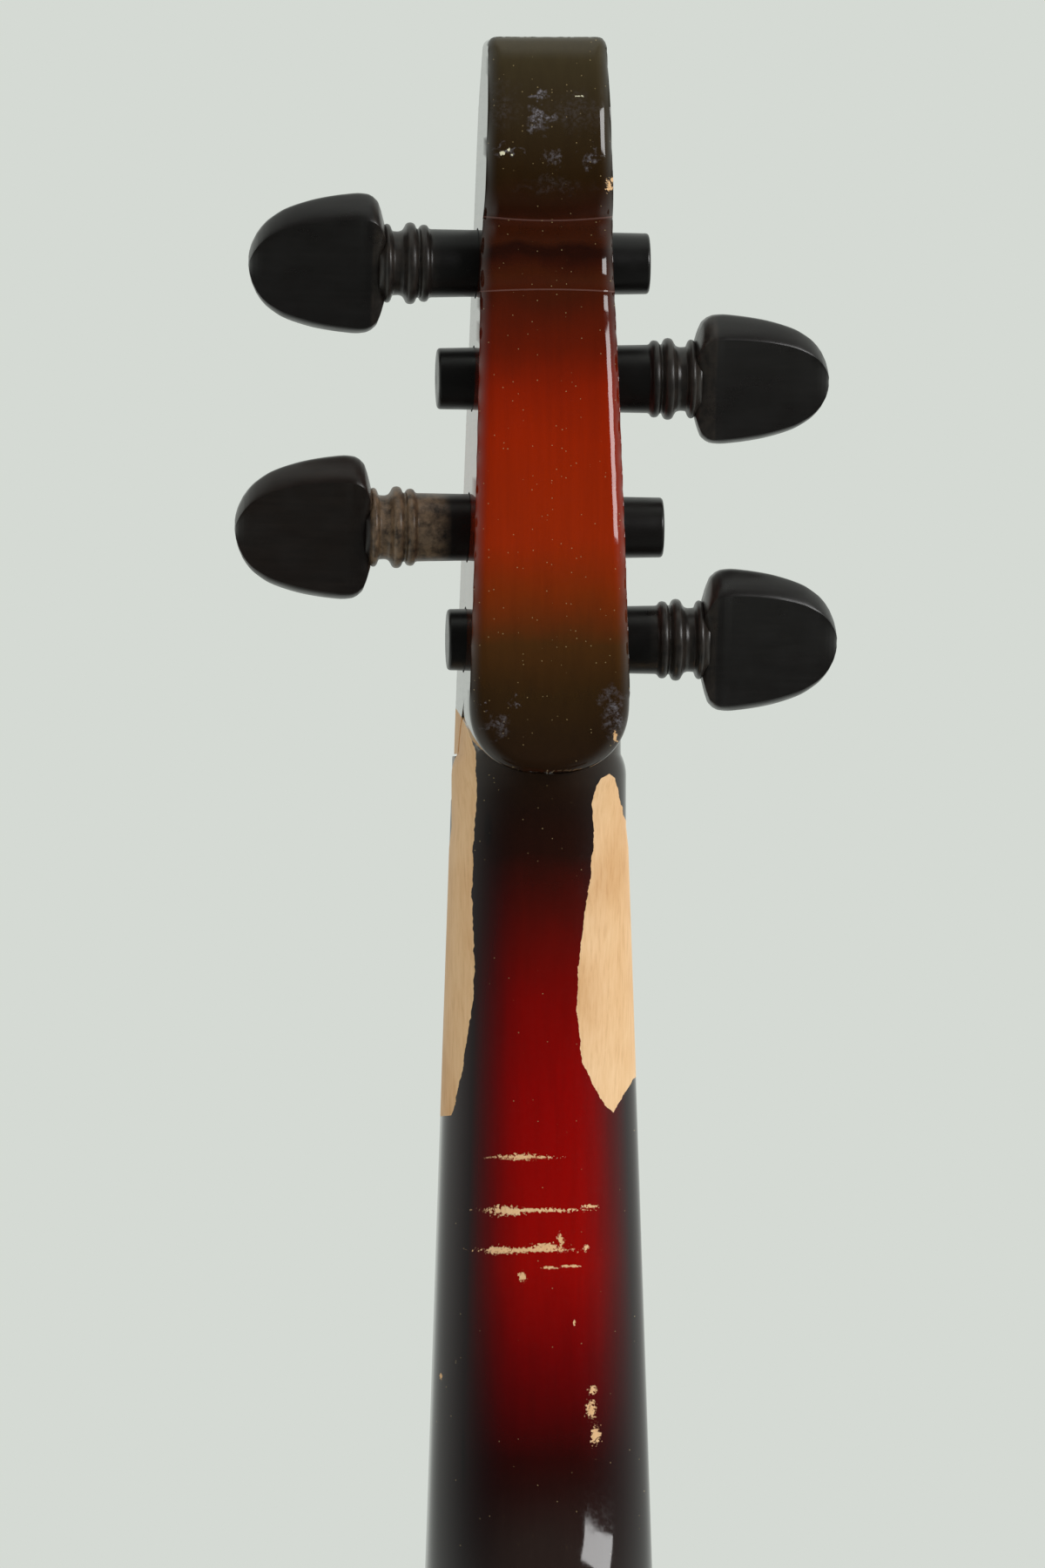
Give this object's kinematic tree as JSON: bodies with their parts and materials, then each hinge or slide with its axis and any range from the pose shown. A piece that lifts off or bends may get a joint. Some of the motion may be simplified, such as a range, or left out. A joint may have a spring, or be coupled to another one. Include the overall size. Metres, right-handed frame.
{
  "type": "electric violin",
  "caption": "Full-size solid-body electric violin with sunburst gloss lacquer, flat-sided pegbox, ebony friction pegs, ceramic pickup, knobs and clamped chinrest.",
  "frame": {"origin": "centre of the body's flat back", "axes": "+Z along the instrument with the head up, +Y out of the flat back, +X towards the side of the top string"},
  "size_m": [0.208, 0.0865, 0.6008],
  "materials": {
    "sunburst_lacquer": "gloss lacquer over maple, red in the middle and black at the edges",
    "ebony": "satin black",
    "brown_horn": "polished dark brown",
    "bare_maple": "bare, scraped",
    "nickel": "polished nickel plate",
    "string_metal": "flat-wound steel",
    "black_plastic": "moulded, lightly polished",
    "ceramic": "fired ceramic",
    "cork": "sheet cork",
    "nylon": "smooth nylon",
    "lead_jacket": "soft vinyl",
    "capacitor_coat": "dipped resin"
  },
  "bodies": {
    "violin": {"body": "sunburst_lacquer", "neck": "sunburst_lacquer", "fingerboard": "ebony", "nut": "brown_horn", "string_g": "string_metal", "string_d": "string_metal", "string_a": "string_metal", "string_e": "string_metal", "bridge": "bare_maple", "pickup_housing": "black_plastic", "pickup_disc_low": "ceramic", "pickup_disc_high": "ceramic", "tailpiece": "ebony", "tail_fret": "brown_horn", "saddle": "ebony", "end_button": "ebony", "tail_gut": "nylon", "tuner_body": "nickel", "tuner_ring": "nickel", "chinrest_plate": "ebony", "chinrest_cork_low": "cork", "chinrest_cork_high": "cork", "chinrest_stud_low": "nickel", "chinrest_stud_high": "nickel", "volume_pot": "nickel", "volume_nut": "nickel", "tone_pot": "nickel", "tone_nut": "nickel", "jack_socket": "nickel", "jack_nut": "nickel", "pickup_lead": "lead_jacket", "tone_lead": "lead_jacket", "jack_lead": "lead_jacket", "tone_capacitor": "capacitor_coat", "cavity_cover": "black_plastic", "cover_screw_1": "nickel", "cover_screw_2": "nickel", "cover_screw_3": "nickel", "cover_screw_4": "nickel"},
    "peg_g": {"peg_g": "ebony", "winding_g": "string_metal"},
    "peg_d": {"peg_d": "ebony", "winding_d": "string_metal"},
    "peg_a": {"peg_a": "ebony", "winding_a": "string_metal"},
    "peg_e": {"peg_e": "ebony", "winding_e": "string_metal"},
    "volume": {"volume_shaft": "nickel", "volume_knob": "black_plastic"},
    "tone": {"tone_shaft": "nickel", "tone_knob": "black_plastic"},
    "tuner_stem": {"tuner_stem": "nickel"},
    "tuner_thumb": {"tuner_thumb_head": "nickel"},
    "tuner_lever": {"tuner_lever": "nickel"},
    "clamp": {"chinrest_bracket": "nickel", "chinrest_bracket_cork": "cork"},
    "barrel_low": {"chinrest_barrel_low": "nickel"},
    "barrel_high": {"chinrest_barrel_high": "nickel"}
  },
  "joints": [
    {"name": "peg_g_turn", "type": "hinge", "parent": "violin", "child": "peg_g", "pos_m": [-0.0407, -0.01204, 0.32508], "axis": [1, 0, 0], "continuous": true},
    {"name": "peg_d_turn", "type": "hinge", "parent": "violin", "child": "peg_d", "pos_m": [-0.0396, -0.00817, 0.36087], "axis": [1, 0, 0], "continuous": true},
    {"name": "peg_a_turn", "type": "hinge", "parent": "violin", "child": "peg_a", "pos_m": [0.0406, -0.00646, 0.37667], "axis": [1, 0, 0], "continuous": true},
    {"name": "peg_e_turn", "type": "hinge", "parent": "violin", "child": "peg_e", "pos_m": [0.0425, -0.01038, 0.34048], "axis": [1, 0, 0], "continuous": true},
    {"name": "volume_turn", "type": "hinge", "parent": "violin", "child": "volume", "pos_m": [0.058, -0.035, -0.072], "axis": [0, -1, 0], "range_deg": [0, 300]},
    {"name": "tone_turn", "type": "hinge", "parent": "violin", "child": "tone", "pos_m": [0.058, -0.035, -0.108], "axis": [0, -1, 0], "range_deg": [0, 300]},
    {"name": "tuner_travel", "type": "slide", "parent": "violin", "child": "tuner_stem", "axis": [0, 0.9792, 0.2028], "range_m": [0, 0.0014]},
    {"name": "tuner_spin", "type": "hinge", "parent": "tuner_stem", "child": "tuner_thumb", "pos_m": [0.015, -0.07189, -0.08932], "axis": [0, 0.9792, 0.2028], "range_deg": [0, 1008.1]},
    {"name": "tuner_tilt", "type": "hinge", "parent": "violin", "child": "tuner_lever", "pos_m": [0.015, -0.06802, -0.07841], "axis": [1, 0, 0], "range_deg": [0, 8.5]},
    {"name": "clamp_travel", "type": "slide", "parent": "violin", "child": "clamp", "axis": [0, 1, 0], "range_m": [0, 0.0032]},
    {"name": "barrel_low_spin", "type": "hinge", "parent": "clamp", "child": "barrel_low", "pos_m": [-0.025, -0.016, -0.1828], "axis": [0, 1, 0], "range_deg": [0, 1440.1]},
    {"name": "barrel_high_spin", "type": "hinge", "parent": "clamp", "child": "barrel_high", "pos_m": [0.025, -0.016, -0.1828], "axis": [0, 1, 0], "range_deg": [0, 1440.1]}
  ],
  "couplings": [
    {"joint": "tuner_spin", "follows": "tuner_travel", "rad_per_m": 12566},
    {"joint": "tuner_tilt", "follows": "tuner_travel", "rad_per_m": 105.29},
    {"joint": "barrel_low_spin", "follows": "clamp_travel", "rad_per_m": 7854},
    {"joint": "barrel_high_spin", "follows": "clamp_travel", "rad_per_m": 7854}
  ]
}
